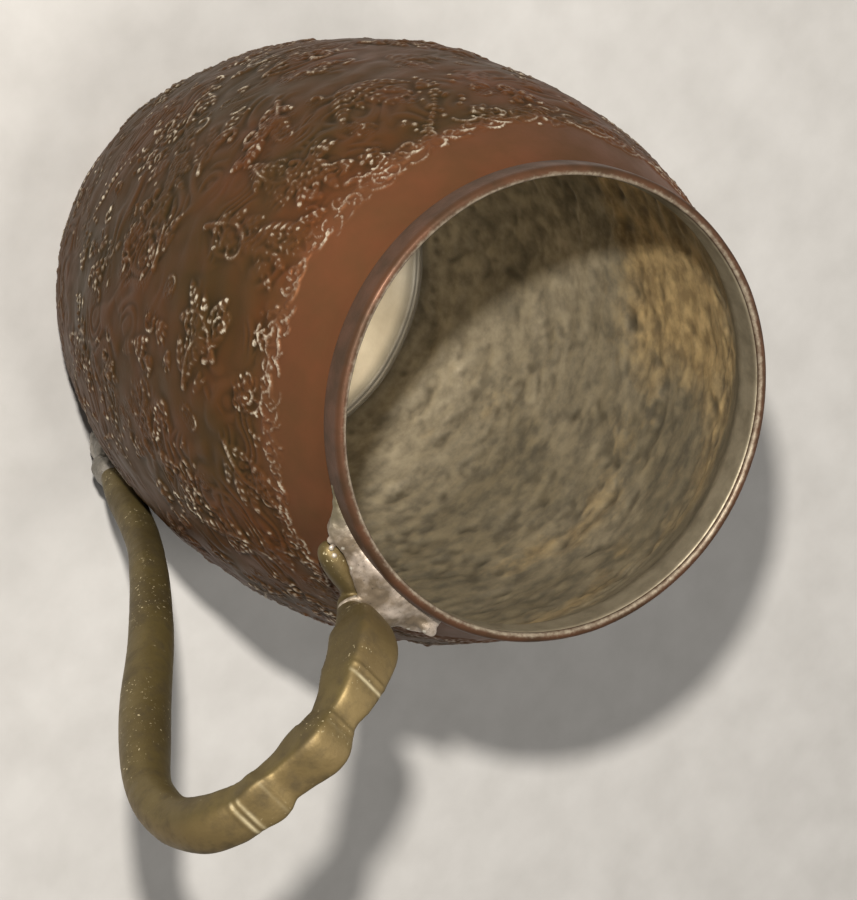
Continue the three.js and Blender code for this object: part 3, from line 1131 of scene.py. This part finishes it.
def copper_outside():
    """Warm brown patina, olive over the pattern, worn pale on crests in painted glints, and dark in
    hollows.
    """
    material, tree, shader = new_material("patinated_copper")
    broad = spread(tree, noise_field(tree, 26, 5), 0.40, 0.60)
    medium = spread(tree, noise_field(tree, 170, 6), 0.35, 0.65)
    fine = noise_field(tree, 1500, 4)
    islets = spread(tree, noise_field(tree, 45, 5), 0.36, 0.64)
    hollow_value = field_value(tree, "hollow")
    olive = blend_colour(tree, islets, (0.060, 0.034, 0.011), (0.128, 0.041, 0.014))
    colour = blend_colour(tree, broad, (0.162, 0.062, 0.028), (0.116, 0.049, 0.023))
    colour = stain(tree, colour, field_value(tree, "pattern"), 0.88, olive)
    colour = stain(tree, colour, medium, 0.35, (0.084, 0.050, 0.021))
    colour = stain(tree, colour, field_value(tree, "tarnish"), 0.50, (0.034, 0.023, 0.009))
    colour = stain(tree, colour, hollow_value, 0.75, (0.022, 0.017, 0.008))
    colour = stain(tree, colour, field_value(tree, "ridge"), 0.40, (0.150, 0.068, 0.033))
    # Only some islands of the rubbed crests get the pale painted glint
    small_islands = spread(tree, noise_field(tree, 420, 4), 0.42, 0.60)
    large_islands = spread(tree, noise_field(tree, 75, 3), 0.40, 0.62, 0.30, 1.0)
    islands = calculate(tree, "MULTIPLY", small_islands, large_islands)
    # Painted glints: the crests are partly bare metal, and their pale colour stands for highlights
    worn = calculate(tree, "MULTIPLY", field_value(tree, "painted_glint"), islands)
    worn = calculate(tree, "MULTIPLY", worn, spread(tree, fine, 0.36, 0.56, 0.2, 1.0))
    colour = blend_colour(tree, worn, colour, (0.80, 0.72, 0.56))
    shader.inputs["Specular IOR Level"].default_value = 0.03
    rough = spread(tree, medium, 0, 1, 0.40, 0.52)
    rough = calculate(tree, "SUBTRACT", rough, calculate(tree, "MULTIPLY", worn, 0.22))
    rough = calculate(tree, "ADD", rough, calculate(tree, "MULTIPLY", hollow_value, 0.16))
    punched = calculate(tree, "MULTIPLY", cells(tree, 1500), field_value(tree, "granules"))
    streaks = scratches(tree, 900, (1.0, 1.0, 0.12))
    normal = bumps(tree, (punched, 0.16 * MM, 1.0), (fine, 0.025 * MM, 0.8), (streaks, 0.008 * MM, 0.6))
    coat(tree, shader, colour, 0.50, rough, normal)
    return material


def tin_inside():
    """Grey tin worn through to golden-brown metal, mostly on one side."""
    material, tree, shader = new_material("worn_tin")
    broad = noise_field(tree, 42, 6, 0.62)
    medium = noise_field(tree, 260, 6, 0.6)
    fine = noise_field(tree, 1800, 4)
    ridge_value = field_value(tree, "ridge")
    mottle = spread(tree, medium, 0.35, 0.65)
    clean = blend_colour(tree, mottle, (0.50, 0.445, 0.335), (0.30, 0.260, 0.185))
    sooty = blend_colour(tree, mottle, (0.20, 0.180, 0.130), (0.105, 0.102, 0.082))
    gold = blend_colour(tree, spread(tree, medium, 0.4, 0.62), (0.64, 0.46, 0.22), (0.34, 0.235, 0.110))
    clouds = spread(tree, noise_field(tree, 24, 5, 0.6), 0.28, 0.52)
    # The dark clouds thin out towards the bottom
    clouds = calculate(tree, "MULTIPLY", clouds, field_value(tree, "dark_cloud_share"))
    grey = blend_colour(tree, clouds, clean, sooty)
    bare = calculate(tree, "MULTIPLY", field_value(tree, "worn"), 0.20)
    bare = calculate(tree, "ADD", spread(tree, broad, 0.3, 0.7, 0.39, 0.59), bare)
    bare = calculate(tree, "ADD", bare, calculate(tree, "MULTIPLY", ridge_value, 0.05))
    colour = blend_colour(tree, spread(tree, bare, 0.58, 0.68, 0.16, 0.95), grey, gold)
    # The hollow field darkens the hollows of the relief and also holds the painted shade below the lip
    colour = stain(tree, colour, field_value(tree, "hollow"), 0.80, (0.070, 0.056, 0.034))
    colour = stain(tree, colour, ridge_value, 0.40, (0.58, 0.47, 0.28))
    normal = bumps(tree, (fine, 0.04 * MM, 1.0), (medium, 0.14 * MM, 0.8))
    coat(tree, shader, colour, 0.5, spread(tree, medium, 0.3, 0.7, 0.42, 0.58), normal)
    return material


def band_copper():
    """Dark purple-brown copper, worn to dull pale metal along the lip."""
    material, tree, shader = new_material("dark_band_copper")
    medium = noise_field(tree, 210, 6)
    fine = noise_field(tree, 1700, 5)
    grain = noise_field(tree, 900, 4, 0.7)
    mottle = spread(tree, medium, 0.35, 0.65)
    dark = blend_colour(tree, mottle, (0.090, 0.042, 0.023), (0.056, 0.031, 0.017))
    pale = blend_colour(tree, spread(tree, grain, 0.38, 0.62), (0.15, 0.112, 0.080), (0.27, 0.225, 0.165))
    worn = field_value(tree, "worn")
    worn = calculate(tree, "ADD", worn, spread(tree, grain, 0.3, 0.7, -0.14, 0.14))
    colour = blend_colour(tree, spread(tree, worn, 0.40, 0.95), dark, pale)
    shader.inputs["Specular IOR Level"].default_value = 0.15
    normal = bumps(tree, (fine, 0.03 * MM, 1.0), (grain, 0.05 * MM, 0.7))
    coat(tree, shader, colour, 0.35, spread(tree, medium, 0.3, 0.7, 0.36, 0.50), normal)
    return material


def plate_tin():
    """Cream tin, painted brighter than its own colour to stand for the light on it, little worn, with
    soft grey clouds, and grime with painted shade round the edge.
    """
    material, tree, shader = new_material("pale_tin_painted_bright")
    medium = noise_field(tree, 90, 6)
    fine = noise_field(tree, 1500, 4)
    mottle = spread(tree, medium, 0.35, 0.68)
    # Painted light: the cream is brighter than pale tin alone, for the light that falls on the plate
    colour = blend_colour(tree, mottle, (0.92, 0.84, 0.68), (0.70, 0.61, 0.45))
    # Grime and painted shade round the edge
    colour = stain(tree, colour, field_value(tree, "edge_grime_and_shade"), 0.85, (0.10, 0.085, 0.06))
    rough = spread(tree, medium, 0.3, 0.7, 0.38, 0.52)
    coat(tree, shader, colour, 0.35, rough, bumps(tree, (fine, 0.03 * MM, 1.0)))
    return material


def aged_brass():
    """Olive-brown brass, painted lighter on the outside of the loop where the light falls, with bare
    lines, painted glint specks and fine scratches.
    """
    material, tree, shader = new_material("aged_brass")
    broad = spread(tree, noise_field(tree, 60, 5), 0.38, 0.62)
    medium = noise_field(tree, 350, 6)
    fine = noise_field(tree, 2200, 5)
    # Painted shade and painted light: dark brass for the shaded inside of the loop, light brass for the
    # lit outside
    dark = blend_colour(tree, broad, (0.140, 0.104, 0.037), (0.095, 0.069, 0.026))
    light = blend_colour(tree, broad, (0.220, 0.158, 0.066), (0.172, 0.120, 0.050))
    colour = blend_colour(tree, field_value(tree, "painted_lit_side"), dark, light)
    colour = blend_colour(tree, spread(tree, medium, 0.48, 0.70, 0.0, 0.6), colour, (0.070, 0.052, 0.028))
    streaks = scratches(tree, 1500, (1.0, 3.0, 0.3), 0.79, 0.83)
    streaks = calculate(tree, "MULTIPLY", streaks, 0.6)
    # Painted glints: small pale specks in patches, given the bare metal's colour
    painted_glint_specks = spread(tree, noise_field(tree, 1900, 3), 0.64, 0.70)
    glint_patches = spread(tree, noise_field(tree, 95, 3), 0.52, 0.60)
    # The pale colour below covers painted glint specks as well as bare scratches and lines
    bare = calculate(tree, "MAXIMUM", calculate(tree, "MULTIPLY", painted_glint_specks, glint_patches), streaks)
    patchy = spread(tree, medium, 0.35, 0.6, 0.35, 1.0)
    lines = calculate(tree, "MULTIPLY", field_value(tree, "lines"), patchy)
    bare = calculate(tree, "MAXIMUM", bare, lines)
    colour = blend_colour(tree, bare, colour, (0.62, 0.53, 0.33))
    normal = bumps(tree, (fine, 0.04 * MM, 1.0), (medium, 0.07 * MM, 0.7), (streaks, 0.012 * MM, 0.8))
    coat(tree, shader, colour, 0.62, spread(tree, medium, 0.3, 0.7, 0.48, 0.64), normal)
    return material


def soft_solder(name, light, dark):
    """Dull solder, mottled between a light and a dark colour, with painted glints on its sharp edges."""
    material, tree, shader = new_material(name)
    broad = spread(tree, noise_field(tree, 150, 5), 0.44, 0.57)
    medium = noise_field(tree, 520, 6)
    fine = noise_field(tree, 2400, 5)
    colour = blend_colour(tree, broad, dark, light)
    colour = blend_colour(tree, spread(tree, medium, 0.52, 0.70, 0.0, 0.6), colour, dark)
    colour = blend_colour(tree, spread(tree, fine, 0.60, 0.70, 0.0, 0.7), colour, (0.05, 0.042, 0.03))
    # Painted glints: a pale colour on the sharp edges
    colour = stain(tree, colour, pointed(tree, 0.52, 0.60), 0.6, (0.72, 0.68, 0.58))
    colour = blend_colour(tree, field_value(tree, "aged"), colour, (0.10, 0.085, 0.042))
    normal = bumps(tree, (medium, 0.14 * MM, 1.0), (fine, 0.05 * MM, 0.8))
    coat(tree, shader, colour, 0.45, spread(tree, medium, 0.3, 0.7, 0.34, 0.55), normal)
    return material


def pale_floor():
    """Matt, nearly even pale grey."""
    material, tree, shader = new_material("pale_floor")
    clouds = spread(tree, noise_field(tree, 90, 6), 0.3, 0.7)
    colour = blend_colour(tree, clouds, (0.43, 0.415, 0.395), (0.49, 0.475, 0.455))
    tree.links.new(colour, shader.inputs["Base Color"])
    shader.inputs["Roughness"].default_value = 0.9
    return material


# ---------------------------------------------------------------- pieces in place

def place(piece, materials, replaced):
    """Gives a piece its materials and its body, and hides the CAD solid it stands for."""
    for material in materials:
        piece.data.materials.append(material)
    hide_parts(replaced)
    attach(piece, "root")


place(raised_wall(), [copper_outside(), tin_inside()], "body_shell")
place(rim_ring(), [band_copper()], "rim_band")
place(bottom_plate(), [plate_tin()], "base_disc")
place(cast_handle(), [aged_brass()], "handle")
pink = soft_solder("pink_solder", (0.50, 0.42, 0.35), (0.17, 0.130, 0.088))
grey = soft_solder("grey_solder", (0.34, 0.31, 0.27), (0.16, 0.145, 0.12))
place(rim_solder(), [pink], "upper_solder")
place(foot_solder(), [grey], "lower_solder")


# ---------------------------------------------------------------- floor, light and camera

def floor_sheet():
    """A wide floor just under the mug."""
    reach = 3.0
    steps = 24
    grid = np.linspace(-reach, reach, steps)
    points = [(x, y, 0.0) for y in grid for x in grid]
    faces = []
    for j in range(steps - 1):
        for i in range(steps - 1):
            a = j * steps + i
            faces.append((a, a + 1, a + steps + 1, a + steps))
    sheet = make_object("floor", points, faces)
    sheet.data.materials.append(pale_floor())
    sheet.location.z = -0.05 * MM


def look(position, target, roll=0.0):
    """The turn that points a camera or lamp at its target."""
    facing = (target - position).to_track_quat("-Z", "Y")
    return facing @ Quaternion((0, 0, 1), roll)


def stand(name, data, position, target, roll=0.0):
    """Puts a camera or lamp in the scene, turned to its target."""
    made = bpy.data.objects.new(name, data)
    made.location = position
    made.rotation_mode = "QUATERNION"
    made.rotation_quaternion = look(made.location, target, roll)
    bpy.context.scene.collection.objects.link(made)
    return made


def lamp(name, position, target, size, power, colour=(1, 1, 1)):
    """A round soft lamp; its size is in metres and its power in watts."""
    light = bpy.data.lights.new(name, "AREA")
    light.shape = "DISK"
    light.size = size
    light.energy = power
    light.color = colour
    stand(name, light, position, target)


def camera():
    """The camera, above the handle's side."""
    data = bpy.data.cameras.new("camera")
    data.lens = VIEW_LENS
    data.sensor_width = 36.0
    data.clip_start = 0.01
    flat = math.cos(VIEW_ELEVATION)
    across = Vector((math.cos(VIEW_AZIMUTH), math.sin(VIEW_AZIMUTH), 0)) * flat
    toward = across + Vector((0, 0, math.sin(VIEW_ELEVATION)))
    made = stand("camera", data, VIEW_AIM + toward * VIEW_DISTANCE, VIEW_AIM, VIEW_ROLL)
    bpy.context.scene.camera = made
    return made


def surroundings():
    """A faint even light from all sides."""
    world = bpy.data.worlds.new("studio")
    world.use_nodes = True
    back = world.node_tree.nodes["Background"]
    back.inputs["Color"].default_value = (0.80, 0.79, 0.77, 1.0)
    back.inputs["Strength"].default_value = 0.14
    bpy.context.scene.world = world


def studio():
    """A small flash-like key just above the camera, a soft fill, and a lamp over the mouth."""
    eye = camera()
    centre = Vector((0.01, 0, 0.55 * TOP))
    spin = eye.rotation_quaternion
    flash = spin @ Vector((0, 1, 0)) * 0.082 - spin @ Vector((1, 0, 0)) * 0.010
    lamp("key", eye.location + flash, centre, 0.02, 5.2, (1.0, 0.96, 0.90))
    lamp("fill", Vector((-0.5, 0.6, 0.55)), centre, 0.5, 1.2)
    lamp("down", Vector((0.03, 0.0, 0.80)), Vector((0, 0, 0)), 0.16, 1.9, (1.0, 0.97, 0.92))


floor_sheet()
surroundings()
studio()
bpy.context.scene.view_settings.view_transform = "Standard"
